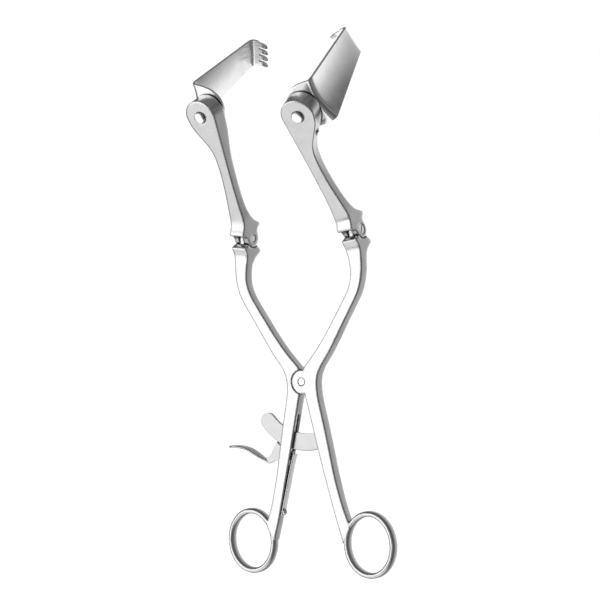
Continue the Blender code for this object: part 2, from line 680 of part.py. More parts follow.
def blade_surface(name, side, lean, where, parent):
    """The middle surface of the bent sheet: rounded flange, plate running back, short hook at the tip."""
    half_base, half_tip = BLADE_BASE_W / 2, BLADE_TIP_W / 2
    across = [-1 + k / 4 for k in range(9)]
    rows = []
    for out, half in FLANGE:
        bow = 0.5 if out > 3 else 0.0
        rows.append([(out + bow * b * b, b * half, 0.0) for b in across])
    for k in range(5):
        turn = math.pi / 2 * k / 4
        reach, fall = BLADE_BEND * (math.sin(turn) - 1), BLADE_BEND * (1 - math.cos(turn))
        rows.append([(BLADE_OUT + BLADE_BOW * b * b + reach, b * half_base, -fall) for b in across])
    plate_end = BLADE_DEPTH - BLADE_TIP_BEND
    for k in range(1, 6):
        t = k / 5
        depth = BLADE_BEND + (plate_end - BLADE_BEND) * t
        half = half_base + (half_tip - half_base) * t
        bow = BLADE_BOW + (BLADE_TIP_BOW - BLADE_BOW) * t
        rows.append([(BLADE_OUT + bow * b * b, b * half, -depth) for b in across])
    for k in range(1, 4):
        turn = math.radians(82) * k / 3
        depth = plate_end + BLADE_TIP_BEND * math.sin(turn)
        out = BLADE_OUT - BLADE_TIP_BEND * (1 - math.cos(turn))
        half = half_tip - 0.1 * k
        rows.append([(out + BLADE_TIP_BOW * b * b, b * half, -depth) for b in across])
    hook, half = BLADE_OUT - BLADE_HOOK, half_tip - 0.4
    rows.append([(hook + BLADE_TIP_BOW * b * b, b * half, -BLADE_DEPTH) for b in across])

    work = bmesh.new()
    grid = [[work.verts.new(Vector((side * x, y - lean * z, z)) * MM) for x, y, z in row] for row in rows]
    for row, after in zip(grid, grid[1:]):
        for k in range(len(row) - 1):
            work.faces.new((row[k], row[k + 1], after[k + 1], after[k]))
    return from_bmesh(name, work, where, parent)


def claw(name, side, lean, index, parent):
    """One claw: it leaves the hook's edge towards the middle and turns up a little, tapering to a point."""
    b = -1 + (2 * index + 1) / CLAWS
    y = b * (BLADE_TIP_W / 2 - 0.3) + lean * BLADE_DEPTH
    root = BLADE_OUT - BLADE_HOOK
    rise = [(0.9, 0.0), (-0.14, -0.05), (-0.45, 0.15), (-0.72, 0.8), (-1.0, 2.0)]
    path = [(side * (root + 0.9), -BLADE_DEPTH)]
    path += [(side * (root + share * CLAW_LENGTH), -BLADE_DEPTH + up) for share, up in rise[1:]]
    line = spline_points(path, 2)
    last = len(line) - 1
    taper = [max(0.12, (1 - k / last) ** 0.75) for k in range(last + 1)]
    return flat_bar(name, line, CLAW_WIDE, CLAW_THICK, HELPERS, parent, shift(0, y, 0) @ DEEP, taper=taper)


def build_blade(word, side, lean, swivel, material):
    blade = coat(blade_surface(f"{word}_blade", side, lean, PIECES, swivel), material)
    wall = blade.modifiers.new("sheet", "SOLIDIFY")
    wall.thickness = BLADE_SHEET * MM
    wall.offset = 0.0
    wall.use_even_offset = True
    for index in range(CLAWS):
        join(blade, claw(f"{word}_blade_claw_{index + 1}", side, lean, index, swivel))
    drill(blade, "hole", (0, 0, -THICK), (0, 0, THICK), BLADE_HOLE_R, swivel)


def build_stud(word, swivel, material):
    """The stud is riveted through the blade's flange, and the ball catch rides in its groove."""
    tail, face = -BLADE_SHEET / 2 + SKIN, BLADE_SHEET / 2 + 0.1
    groove = CATCH_LEVEL - BLADE_LEVEL
    top = ARM_FRONT + STUD_PROUD - BLADE_LEVEL
    profile = [
        (0.0, top), (STUD_R - 0.35, top), (STUD_R, top - 0.35), (STUD_R, groove + 0.9),
        (STUD_R - STUD_WAIST, groove + 0.35), (STUD_R - STUD_WAIST, groove - 0.35), (STUD_R, groove - 0.9),
        (STUD_R, face), (STUD_TAIL_R, face), (STUD_TAIL_R, tail), (0.0, tail),
    ]
    coat(turned(f"{word}_blade_stud", profile, PIECES, swivel, steps=24), material)


def build_arm(word, side, fold, turn, lean, parent, metals):
    """An arm on its hinge with all that it carries: hinge screw, ball catch, and the blade on its stud."""
    bright, satin, dark = metals
    seat = shift(side * HINGE[0], HINGE[1], HINGE_Z) @ Matrix.Rotation(side * HINGE_LEAN, 4, "Z")
    hinge = axis_empty(f"{word}_arm_hinge", seat @ Matrix.Rotation(fold, 4, "X"), parent)
    arm = coat(loft(f"{word}_arm", arm_rings(side), PIECES, hinge), satin)
    gap = TONGUE_WIDTH / 2 + FORK_GAP
    far, floor = 12.0, CHEEK_R + 0.2
    below = -CHEEK_R * 2
    fork = [(below, -far), (below, far), (floor - 0.4, far), (floor, CHEEK_R)]
    fork += [(floor + 0.15, 0.0), (floor, -CHEEK_R), (floor - 0.4, -far)]
    cut(arm, plate(f"{word}_arm_fork", fork, -gap, gap, HELPERS, hinge, ACROSS))
    wide = HINGE_WIDTH
    drill(arm, "screw_bore", (-wide, 0, 0), (wide, 0, 0), HINGE_PIN_R + HINGE_BORE_GAP, hinge)
    seat_ends = ((side * (wide / 2 - HINGE_HEAD_H - 0.2), 0, 0), (side * wide, 0, 0))
    drill(arm, "screw_seat", *seat_ends, HINGE_HEAD_R + HINGE_BORE_GAP, hinge)
    x, y = side * STUD[0], STUD[1]
    drill(arm, "stud_bore", (x, y, -HEAD_R), (x, y, HEAD_R), STUD_R + STUD_GAP, hinge, sides=32)
    build_hinge_screw(word, side, hinge, bright)
    build_catch(word, side, arm, hinge, bright, dark)
    swivel = axis_empty(
        f"{word}_blade_swivel", shift(x, y, BLADE_LEVEL) @ Matrix.Rotation(side * turn, 4, "Z"), hinge
    )
    build_blade(word, side, lean, swivel, bright)
    build_stud(word, swivel, bright)


def stand_on_origin(root):
    """Moves the whole instrument so that the origin is the middle of its box's underside."""
    bpy.context.view_layer.update()
    graph = bpy.context.evaluated_depsgraph_get()
    low, high = Vector((1.0, 1.0, 1.0)), Vector((-1.0, -1.0, -1.0))
    for obj in PIECES.objects:
        if obj.type != "MESH":
            continue
        evaluated = obj.evaluated_get(graph)
        for vertex in evaluated.data.vertices:
            spot = evaluated.matrix_world @ vertex.co
            low = Vector(map(min, low, spot))
            high = Vector(map(max, high, spot))
    root.location = (-(low.x + high.x) / 2, -(low.y + high.y) / 2, -low.z)


def main():
    satin = steel("satin_steel", (0.72, 0.72, 0.73), 0.32)
    bright = steel("polished_steel", (0.80, 0.80, 0.81), 0.18)
    dark = steel("spring_steel", (0.45, 0.45, 0.46), 0.38)
    metals = (bright, satin, dark)

    root = axis_empty("retractor_root", shift(0, 0, 0))
    right = axis_empty("right_half_pivot", shift(0, 0, 0), root)
    left_frame = build_half(-1, "left_frame", root, satin)
    right_frame = build_half(1, "right_frame", right, satin)
    build_pivot_screw(root, right_frame, bright)
    build_rack(right, right_frame, satin)
    build_lever(root, left_frame, satin)
    build_leaf(root, left_frame, bright)
    build_arm("left", -1, LEFT_FOLD, LEFT_SWIVEL, LEFT_LEAN, root, metals)
    build_arm("right", 1, RIGHT_FOLD, RIGHT_SWIVEL, RIGHT_LEAN, right, metals)
    stand_on_origin(root)


for old in list(bpy.data.objects):
    bpy.data.objects.remove(old, do_unlink=True)
PIECES = collection("spinal retractor")
HELPERS = collection("joined and cut shapes")
HELPERS.hide_render = True
main()
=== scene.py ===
"""Looks of the spinal retractor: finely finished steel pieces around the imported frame, in a plain studio.

Places are in the shared frame. The instrument's lengths are named in millimetres, which MM turns into metres,
and the studio's are named in metres.
"""

import json
import math

import bpy
from bpy.props import FloatProperty, FloatVectorProperty, IntProperty, PointerProperty
from bpy.types import Operator, Panel, PropertyGroup
from mathutils import Matrix, Vector

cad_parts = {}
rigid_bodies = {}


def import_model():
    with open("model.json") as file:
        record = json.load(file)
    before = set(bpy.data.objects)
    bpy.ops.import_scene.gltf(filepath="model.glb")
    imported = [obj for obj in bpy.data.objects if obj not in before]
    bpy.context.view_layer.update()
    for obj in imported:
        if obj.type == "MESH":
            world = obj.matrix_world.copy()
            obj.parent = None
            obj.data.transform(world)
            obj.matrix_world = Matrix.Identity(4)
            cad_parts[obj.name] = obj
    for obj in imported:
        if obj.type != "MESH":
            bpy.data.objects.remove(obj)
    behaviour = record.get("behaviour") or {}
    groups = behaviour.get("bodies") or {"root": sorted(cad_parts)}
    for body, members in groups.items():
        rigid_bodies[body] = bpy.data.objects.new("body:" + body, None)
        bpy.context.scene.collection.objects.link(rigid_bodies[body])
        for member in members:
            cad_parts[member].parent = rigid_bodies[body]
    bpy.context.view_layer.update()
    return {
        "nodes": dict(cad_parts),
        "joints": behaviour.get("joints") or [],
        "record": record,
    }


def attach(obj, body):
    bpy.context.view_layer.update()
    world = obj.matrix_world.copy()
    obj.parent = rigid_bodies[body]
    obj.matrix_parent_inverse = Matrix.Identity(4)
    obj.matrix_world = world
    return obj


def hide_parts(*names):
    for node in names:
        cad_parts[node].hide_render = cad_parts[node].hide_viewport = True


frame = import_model()

bl_info = {
    "name": "Spinal retractor",
    "version": (1, 0, 0),
    "blender": (4, 5, 0),
    "location": "View3D > Sidebar > Retractor",
    "description": "Builds the finished steel pieces of a folding-arm spinal retractor and its studio",
    "category": "Add Mesh",
}

MM = 0.001
SIDES = {"left": -1, "right": 1}
JOINTS = {joint["name"]: joint for joint in frame["joints"]}
PIVOT = Vector(JOINTS["frame_pivot"]["pos_m"])
HALF_THICK = 2.75  # from the middle of the frames to their front face

# Arm hinges and the blades' swivels, as the frame has them, with angles in degrees
HINGE = (33.1, 74.0, -3.6)
HINGE_LEAN = 7.2
STUD_PLACE = (6.5, 68.8)
HEAD_BACK = -4.6
BLADE_GAP = 0.3
FOLDS = {"left": 28.0, "right": 37.0}
TURNS = {"left": 14.0, "right": 5.0}
LEANS = {"left": 0.155, "right": 0.085}  # sideways rise of a plate for each millimetre of its depth

# Meshes: reach within which doubles merge, and angles in degrees
MERGE_REACH = 0.002
FLAT_WITHIN = 0.5  # faces that bend less are joined
SMOOTH_FORGED = 50  # edges that bend less are shaded smooth
SMOOTH_ROUND = 60
SMOOTH_TURNED = 40
AREA_WEIGHT = 100  # the large faces decide the normals at their edges
TURNED_SIDES = 48

# Flange of the blade from its rounded inner edge: distance outwards from the stud, half width, bow of the row
FLANGE_ROWS = (
    (-8.0, 2.4, 0.0),
    (-7.8, 3.6, 0.0),
    (-7.3, 5.2, 0.0),
    (-6.4, 7.0, 0.0),
    (-4.9, 8.8, 0.0),
    (-2.6, 10.5, 0.0),
    (0.3, 11.6, 0.0),
    (3.4, 11.9, 0.3),
    (5.8, 11.9, 0.9),
)
BASE_BEND = 2.3
BASE_BEND_STEPS = 6
PLATE_STEPS = 9
TIP_BEND = 2.2
TIP_BEND_STEPS = 6
TIP_TURN = 84  # degrees by which the tip is turned in
TIP_BOW = 0.3
TIP_NARROWING = 0.05  # what each row of the tip's bend loses in half width
HOOK_NARROWING = 0.4  # what the hook's edge has lost in half width
RIM_ROUND = 0.28
RIM_SEGMENTS = 2
RIM_ANGLE = 50

# Claws: share of the tip's edge that their roots take, and the points along a root in half widths of the claw
CLAW_ROOTS = 0.62
CLAW_POINTS = (-1.0, -0.5, 0.0, 0.5, 1.0)
# Each step of a claw: share of its length, rise towards the front, share of its width
CLAW_STEPS = (
    (0.1, 0.0, 1.0),
    (0.25, 0.0, 0.97),
    (0.45, 0.1, 0.92),
    (0.65, 0.4, 0.85),
    (0.82, 1.0, 0.72),
    (0.95, 1.7, 0.4),
)

# Turned stud: radius and height above the middle of the blade's flange, from the top down
STUD_PROFILE = (
    (0.9, 11.12), (2.3, 11.1), (2.6, 11.02), (2.74, 10.88), (2.8, 10.7), (2.8, 6.2), (2.62, 5.9), (2.4, 5.6),
    (2.35, 5.3), (2.4, 5.0), (2.62, 4.7), (2.8, 4.4), (2.8, 0.8), (1.85, 0.78), (1.85, -0.68), (2.3, -0.72),
    (2.2, -0.95), (1.7, -1.1), (0.9, -1.18),
)

# Each steel: the settings with its tone, roughness and edge radius, the scale of its marks along the
# instrument, where less than 1 draws them out, and the strength of the marks
FINISHES = {
    "satin_steel": (("satin_tone", "satin_roughness", "edge_radius"), 0.05, 0.12),
    "polished_steel": (("bright_tone", "bright_roughness", "fine_edge_radius"), 0.12, 0.08),
    "sheet_steel": (("sheet_tone", "satin_roughness", "fine_edge_radius"), 0.3, 0.12),
    "spring_steel": (("spring_tone", "spring_roughness", "fine_edge_radius"), 1.0, 0.3),
}
MARK_DEPTH = 0.01
MARK_DETAIL = 3.0
MARK_SHADE = 0.12  # how far the marks darken the steel
CLOUD_SCALE = 160.0  # clouds of the polish in each metre
CLOUD_DETAIL = 4.0
CLOUD_RANGE = (0.3, 0.7)
CLOUD_ROUGHNESS = (0.78, 1.25)  # shares of the roughness that the clouds go between
METAL_SPECULAR = 0.5
EDGE_SAMPLES = 8
WEAR_AND_HIGHLIGHT_BEND = 0.9  # cosine of the bend over an edge at which its wear and painted highlight are full
WEAR_AND_HIGHLIGHT_GAIN = 1.15  # how much brighter a worn edge with its painted highlight is
# Painted shade: an ambient occlusion node darkens the steel's colour in crevices and between parts
CREVICE_SAMPLES = 12
CREVICE_REACH = 1.4  # how far the painted shade of a crevice spreads
CREVICE_RANGE = (0.25, 0.85)  # open shares of the surroundings between full painted shade and none
CREVICE_SHADE_TONE = 0.15

# Studio, in metres
FLOOR_SIZE = 40.0
FLOOR_ROUGHNESS = 0.95
FLOOR_SPECULAR = 0.1
LIT_SPOT = Vector((0, 0, 0.02))
KEY_DIRECTION = Vector((-0.576, 0.012, 0.818))
KEY_DISTANCE = 1.1
LOW_PLACE = Vector((-0.30, -0.85, 0.42))
# Each soft light: its place, its width and height, and the setting that holds its power
SOFT_LIGHTS = {
    "key_softbox": (KEY_DIRECTION * KEY_DISTANCE, (1.0, 1.2), "key_power"),
    "low_softbox": (LOW_PLACE, (1.7, 0.8), "fill_power"),
}
# Tones of the room, from straight down, 0, over the horizon, 0.5, to straight up, 1
ROOM_BELOW = 1.3
ROOM_ABOVE = 0.5
ROOM_TONES = (
    (0.04, 1.15),
    (0.09, 0.68),
    (0.125, 0.6),
    (0.17, 0.27),
    (0.22, 0.15),
    (0.27, 0.1),
    (0.33, 0.3),
    (0.42, 0.34),
    (0.5, 0.1),
    (0.75, 0.1),
)
# Camera: the directions of its right, its top and its back, and its place in metres
CAMERA_AXES = ((0.8167, -0.0398, -0.5757), (0.0395, 0.9992, -0.0132), (0.5757, -0.0120, 0.8176))
CAMERA_PLACE = (0.5615, -0.0105, 0.8165)
SENSOR_WIDTH = 36.0


def shift(x, y, z):
    return Matrix.Translation(Vector((x, y, z)) * MM)


def turn(degrees, axis):
    return Matrix.Rotation(math.radians(degrees), 4, axis)


def root_place():
    """The instrument's own frame: its origin lies on the main joint's axis, level with the front faces."""
    return Matrix.Translation(PIVOT + Vector((0, 0, HALF_THICK * MM)))


def hinge_place(word):
    side = SIDES[word]
    place = root_place() @ shift(side * HINGE[0], HINGE[1], HINGE[2])
    return place @ turn(side * HINGE_LEAN, "Z") @ turn(FOLDS[word], "X")


def swivel_place(word, sheet):
    side = SIDES[word]
    level = HEAD_BACK - BLADE_GAP - sheet / 2
    place = hinge_place(word) @ shift(side * STUD_PLACE[0], STUD_PLACE[1], level)
    return place @ turn(side * TURNS[word], "Z")


class FinishSettings(PropertyGroup):
    satin_tone: FloatVectorProperty(
        name="Satin tone", description="Colour of the frames and arms", subtype="COLOR",
        size=3, default=(0.52, 0.52, 0.525), min=0.0, max=1.0)
    bright_tone: FloatVectorProperty(
        name="Bright tone", description="Colour of blades, studs and screws", subtype="COLOR",
        size=3, default=(0.82, 0.82, 0.825), min=0.0, max=1.0)
    sheet_tone: FloatVectorProperty(
        name="Sheet tone", description="Colour of the rack and the release lever", subtype="COLOR",
        size=3, default=(0.385, 0.385, 0.39), min=0.0, max=1.0)
    spring_tone: FloatVectorProperty(
        name="Spring tone", description="Colour of the coil springs and plugs", subtype="COLOR",
        size=3, default=(0.45, 0.45, 0.455), min=0.0, max=1.0)
    satin_roughness: FloatProperty(
        name="Satin roughness", description="How matt the frames, arms, rack and lever are",
        default=0.27, min=0.0, max=1.0, subtype="FACTOR")
    bright_roughness: FloatProperty(
        name="Bright roughness", description="How matt the blades and screws are",
        default=0.25, min=0.0, max=1.0, subtype="FACTOR")
    spring_roughness: FloatProperty(
        name="Spring roughness", description="How matt the coil springs and plugs are",
        default=0.34, min=0.0, max=1.0, subtype="FACTOR")
    grain_width: FloatProperty(
        name="Grain width", description="Width of the finest brushing marks",
        default=0.09 * MM, min=0.01 * MM, max=2 * MM, unit="LENGTH", precision=5)
    edge_radius: FloatProperty(
        name="Edge radius", description="Radius of the polished edges of the frames and arms",
        default=1.5 * MM, min=0.0, max=3 * MM, unit="LENGTH", precision=5)
    fine_edge_radius: FloatProperty(
        name="Fine edge radius", description="Radius of the polished edges of all other pieces",
        default=0.22 * MM, min=0.0, max=1 * MM, unit="LENGTH", precision=5)


class BladeSettings(PropertyGroup):
    sheet: FloatProperty(
        name="Sheet", description="Thickness of the bent blade",
        default=1.4 * MM, min=0.5 * MM, max=3 * MM, unit="LENGTH", precision=5)
    reach: FloatProperty(
        name="Reach", description="Distance from the stud's axis to the plate",
        default=8.9 * MM, min=6 * MM, max=15 * MM, unit="LENGTH", precision=5)
    depth: FloatProperty(
        name="Depth", description="Length of the plate behind the flange",
        default=51.0 * MM, min=20 * MM, max=80 * MM, unit="LENGTH", precision=5)
    base_width: FloatProperty(
        name="Base width", description="Width of the plate at the flange",
        default=23.4 * MM, min=10 * MM, max=40 * MM, unit="LENGTH", precision=5)
    tip_width: FloatProperty(
        name="Tip width", description="Width of the plate at the claws",
        default=14.7 * MM, min=8 * MM, max=30 * MM, unit="LENGTH", precision=5)
    bow: FloatProperty(
        name="Bow", description="How far the plate's sides stand further out than its middle",
        default=2.2 * MM, min=0.0, max=5 * MM, unit="LENGTH", precision=5)
    hook: FloatProperty(
        name="Hook", description="How far the tip is turned in",
        default=4.2 * MM, min=2 * MM, max=8 * MM, unit="LENGTH", precision=5)
    claws: IntProperty(name="Claws", description="Number of claws on each blade", default=4, min=2, max=6)
    claw_length: FloatProperty(
        name="Claw length", description="Reach of the claws past the hook",
        default=6.0 * MM, min=2 * MM, max=10 * MM, unit="LENGTH", precision=5)


class StudioSettings(PropertyGroup):
    floor_tone: FloatVectorProperty(
        name="Floor tone", description="Colour of the floor", subtype="COLOR",
        size=3, default=(0.33, 0.33, 0.33), min=0.0, max=1.0)
    floor_glow: FloatProperty(
        name="Floor glow", description="Light that the pale floor gives off", default=0.8, min=0.0)
    floor_drop: FloatProperty(
        name="Floor drop", description="Room left under the resting instrument for the arms to fold down",
        default=90 * MM, min=0.0, unit="LENGTH")
    key_power: FloatProperty(
        name="Key power", description="Power of the large soft light", default=7.2, unit="POWER")
    fill_power: FloatProperty(
        name="Fill power", description="Power of the low soft light", default=5.5, unit="POWER")
    room_tone: FloatProperty(
        name="Room tone", description="Brightness of the room around the instrument", default=1.0, min=0.0)
    lens: FloatProperty(
        name="Lens", description="Focal length of the camera", default=116.8 * MM, min=20 * MM, unit="CAMERA")


def clear_selection():
    if bpy.context.object and bpy.context.object.mode != "OBJECT":
        bpy.ops.object.mode_set(mode="OBJECT")
    bpy.ops.object.select_all(action="DESELECT")


def pick(obj):
    clear_selection()
    obj.select_set(True)
    bpy.context.view_layer.objects.active = obj


def apply_all(obj):
    pick(obj)
    for modifier in list(obj.modifiers):
        bpy.ops.object.modifier_apply(modifier=modifier.name)


def close_up(obj, angle):
    """Merges doubles, turns the faces outwards and shades the shallow edges smooth."""
    pick(obj)
    bpy.ops.object.mode_set(mode="EDIT")
    bpy.ops.mesh.select_all(action="SELECT")
    bpy.ops.mesh.remove_doubles(threshold=MERGE_REACH * MM)
    bpy.ops.mesh.normals_make_consistent(inside=False)
    bpy.ops.object.mode_set(mode="OBJECT")
    bpy.ops.object.shade_smooth_by_angle(angle=math.radians(angle))


def place_piece(obj, matrix):
    """Puts the shape in its place, in the mesh itself."""
    obj.matrix_world = matrix @ obj.matrix_world
    pick(obj)
    bpy.ops.object.transform_apply(location=True, rotation=True, scale=True)


def give(obj, body, material, slot, *nodes):
    """Gives a piece its steel and its body, and lets it stand for the named solids; its slot is not used."""
    obj.data.materials.clear()
    obj.data.materials.append(material)
    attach(obj, body)
    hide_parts(*nodes)
    return obj


def body_of(node):
    groups = frame["record"]["behaviour"]["bodies"]
    return next(body for body, members in groups.items() if node in members)


def stacked(name, profile):
    """A turned piece, drawn out ring by ring from its top disc to its bottom."""
    clear_selection()
    radius, top = profile[0]
    bpy.ops.mesh.primitive_circle_add(
        vertices=TURNED_SIDES, radius=radius * MM, fill_type="NGON", location=(0, 0, top * MM))
    obj = bpy.context.object
    obj.name = name
    bpy.ops.object.transform_apply(location=True, rotation=False, scale=False)
    bpy.ops.object.mode_set(mode="EDIT")
    bpy.ops.mesh.select_all(action="SELECT")
    for (was, high), (now, low) in zip(profile, profile[1:]):
        bpy.ops.mesh.extrude_region_move(TRANSFORM_OT_translate={"value": (0, 0, (low - high) * MM)})
        bpy.ops.transform.resize(value=(now / was, now / was, 1))
    bpy.ops.object.mode_set(mode="OBJECT")
    return obj


def refined(node, word, material, slot, angle=SMOOTH_FORGED):
    """A smooth-shaded copy of a solid, with its doubles merged and its flat faces kept flat in the light."""
    copy = bpy.data.objects.new(word, frame["nodes"][node].data.copy())
    bpy.context.scene.collection.objects.link(copy)
    pick(copy)
    bpy.ops.object.mode_set(mode="EDIT")
    bpy.ops.mesh.select_all(action="SELECT")
    bpy.ops.mesh.remove_doubles(threshold=MERGE_REACH * MM)
    bpy.ops.mesh.dissolve_limited(angle_limit=math.radians(FLAT_WITHIN))
    bpy.ops.mesh.quads_convert_to_tris()
    bpy.ops.mesh.customdata_custom_splitnormals_clear()
    bpy.ops.object.mode_set(mode="OBJECT")
    bpy.ops.object.shade_smooth_by_angle(angle=math.radians(angle))
    flatter = copy.modifiers.new("flat faces", "WEIGHTED_NORMAL")
    flatter.keep_sharp = True
    flatter.weight = AREA_WEIGHT
    apply_all(copy)
    return give(copy, body_of(node), material, slot, node)


def put(tree, kind, values):
    """Adds a node and sets the values of its sockets."""
    node = tree.nodes.new(kind)
    for socket, value in values.items():
        node.inputs[socket].default_value = value
    return node


def blend(tree, mode, values):
    """Adds a node that blends two colours, and sets the values of its sockets."""
    node = tree.nodes.new("ShaderNodeMix")
    node.data_type = "RGBA"
    node.blend_type = mode
    for socket, value in values.items():
        node.inputs[socket].default_value = value
    return node


def spread(tree, came, goes):
    """Adds a node that carries one range of values over to another."""
    ends = {"From Min": came[0], "From Max": came[1], "To Min": goes[0], "To Max": goes[1]}
    return put(tree, "ShaderNodeMapRange", ends)


def steel(name, tone, roughness, grain, edge, stretch, strength):
    """Brushed steel: fine marks along the instrument, cloudy polish, edges worn and lightened by a painted
    highlight, and painted shade in crevices.
    """
    made = bpy.data.materials.new(name)
    made.use_nodes = True
    tree = made.node_tree
    link = tree.links.new
    shader = tree.nodes["Principled BSDF"]
    shader.inputs["Metallic"].default_value = 1.0
    shader.inputs["Specular IOR Level"].default_value = METAL_SPECULAR
    place = tree.nodes.new("ShaderNodeTexCoord")
    drawn = put(tree, "ShaderNodeMapping", {"Scale": (1.0, stretch, 1.0)})
    link(place.outputs["Object"], drawn.inputs["Vector"])
    marks = put(tree, "ShaderNodeTexNoise", {"Scale": 1.0 / grain, "Detail": MARK_DETAIL})
    link(drawn.outputs["Vector"], marks.inputs["Vector"])
    clouds = put(tree, "ShaderNodeTexNoise", {"Scale": CLOUD_SCALE, "Detail": CLOUD_DETAIL})
    link(place.outputs["Object"], clouds.inputs["Vector"])
    matt = spread(tree, CLOUD_RANGE, [roughness * share for share in CLOUD_ROUGHNESS])
    link(clouds.outputs["Fac"], matt.inputs["Value"])
    link(matt.outputs["Result"], shader.inputs["Roughness"])

    rounded = put(tree, "ShaderNodeBevel", {"Radius": edge})
    rounded.samples = EDGE_SAMPLES
    bump = put(tree, "ShaderNodeBump", {"Strength": strength, "Distance": MARK_DEPTH * MM})
    link(marks.outputs["Fac"], bump.inputs["Height"])
    link(rounded.outputs["Normal"], bump.inputs["Normal"])
    link(bump.outputs["Normal"], shader.inputs["Normal"])

    # edges partly worn and partly given a painted highlight: the colour lightens where the rounded normal
    # bends away from the flat one
    flat = tree.nodes.new("ShaderNodeNewGeometry")
    bend = tree.nodes.new("ShaderNodeVectorMath")
    bend.operation = "DOT_PRODUCT"
    link(flat.outputs["Normal"], bend.inputs[0])
    link(rounded.outputs["Normal"], bend.inputs[1])
    wear_and_highlight = spread(tree, (WEAR_AND_HIGHLIGHT_BEND, 1.0), (1.0, 0.0))
    link(bend.outputs["Value"], wear_and_highlight.inputs["Value"])
    wear_and_highlight_tone = [min(1.0, value * WEAR_AND_HIGHLIGHT_GAIN) for value in tone]
    tones = blend(tree, "MIX", {"A": (*tone, 1.0), "B": (*wear_and_highlight_tone, 1.0)})
    link(wear_and_highlight.outputs["Result"], tones.inputs["Factor"])
    shade = blend(tree, "MULTIPLY", {"Factor": MARK_SHADE})
    link(tones.outputs["Result"], shade.inputs["A"])
    link(marks.outputs["Fac"], shade.inputs["B"])

    # painted shade: the colour is darkened where the surroundings close in, in crevices and between parts
    crevice = put(tree, "ShaderNodeAmbientOcclusion", {"Distance": CREVICE_REACH * MM})
    crevice.samples = CREVICE_SAMPLES
    painted_shade = spread(tree, CREVICE_RANGE, (CREVICE_SHADE_TONE, 1.0))
    link(crevice.outputs["AO"], painted_shade.inputs["Value"])
    deep = blend(tree, "MULTIPLY", {"Factor": 1.0})
    link(shade.outputs["Result"], deep.inputs["A"])
    link(painted_shade.outputs["Result"], deep.inputs["B"])
    link(deep.outputs["Result"], shader.inputs["Base Color"])
    return made


def finish_of(kind):
    """The steel of one kind, made when it is first asked for."""
    name = f"brushed_{kind}"
    known = bpy.data.materials.get(name)
    if known:
        return known
    s = bpy.context.scene.retractor_finish
    settings, stretch, strength = FINISHES[kind]
    tone, roughness, edge = [getattr(s, setting) for setting in settings]
    return steel(name, tone, roughness, s.grain_width, edge, stretch, strength)


class RETRACTOR_OT_frames(Operator):
    """Finish the two forged halves with their finger rings"""

    bl_idname = "retractor.frames"
    bl_label = "Frames"

    def execute(self, context):
        for word in SIDES:
            refined(f"{word}_frame", f"{word}_forged_half", finish_of("satin_steel"), "satin_steel")
        return {"FINISHED"}


class RETRACTOR_OT_arms(Operator):
    """Finish the two folding arms"""

    bl_idname = "retractor.arms"
    bl_label = "Folding arms"

    def execute(self, context):
        for word in SIDES:
            refined(f"{word}_arm", f"{word}_folding_arm", finish_of("satin_steel"), "satin_steel")
        return {"FINISHED"}


class RETRACTOR_OT_ratchet(Operator):
    """Finish the rack, its rivets and the release lever on its pin"""

    bl_idname = "retractor.ratchet"
    bl_label = "Ratchet"

    def execute(self, context):
        sheet = finish_of("sheet_steel")
        for node in ("ratchet_rack", "rack_rivet_upper", "rack_rivet_lower", "release_lever", "lever_pin"):
            refined(node, f"fine_{node}", sheet, "satin_steel")
        return {"FINISHED"}


class RETRACTOR_OT_screws(Operator):
    """Finish the pivot screw, the hinge screws, the leaf spring and its screw"""

    bl_idname = "retractor.screws"
    bl_label = "Screws and leaf spring"

    def execute(self, context):
        bright = finish_of("polished_steel")
        for node in ("pivot_screw", "left_hinge_screw", "right_hinge_screw", "leaf_spring", "spring_screw"):
            refined(node, f"fine_{node}", bright, "polished_steel")
        return {"FINISHED"}


class RETRACTOR_OT_catches(Operator):
    """Finish the ball catches inside the arm heads"""

    bl_idname = "retractor.catches"
    bl_label = "Ball catches"

    def execute(self, context):
        bright, dark = finish_of("polished_steel"), finish_of("spring_steel")
        for word in SIDES:
            refined(f"{word}_catch_ball", f"{word}_fine_ball", bright, "polished_steel", SMOOTH_ROUND)
            for piece in ("spring", "screw"):
                node = f"{word}_catch_{piece}"
                refined(node, f"fine_{node}", dark, "spring_steel", SMOOTH_ROUND)
        return {"FINISHED"}


def sheet_rows(s):
    """Rows of the blade's middle surface in millimetres: reach, half width, bow and depth of each."""
    reach, depth, hook = s.reach / MM, s.depth / MM, s.hook / MM
    base, tip, bow = s.base_width / MM / 2, s.tip_width / MM / 2, s.bow / MM
    rows = [(out, half, curve, 0.0) for out, half, curve in FLANGE_ROWS]
    for k in range(BASE_BEND_STEPS + 1):
        angle = math.pi / 2 * k / BASE_BEND_STEPS
        rows.append((reach + BASE_BEND * (math.sin(angle) - 1), base, bow, BASE_BEND * (1 - math.cos(angle))))
    end = depth - TIP_BEND
    for k in range(1, PLATE_STEPS + 1):
        t = k / PLATE_STEPS
        half = base + (tip - base) * t
        rows.append((reach, half, bow + (TIP_BOW - bow) * t, BASE_BEND + (end - BASE_BEND) * t))
    for k in range(1, TIP_BEND_STEPS + 1):
        angle = math.radians(TIP_TURN) * k / TIP_BEND_STEPS
        out = reach - TIP_BEND * (1 - math.cos(angle))
        rows.append((out, tip - TIP_NARROWING * k, TIP_BOW, end + TIP_BEND * math.sin(angle)))
    rows.append((reach - hook, tip - HOOK_NARROWING, TIP_BOW, depth))
    return rows


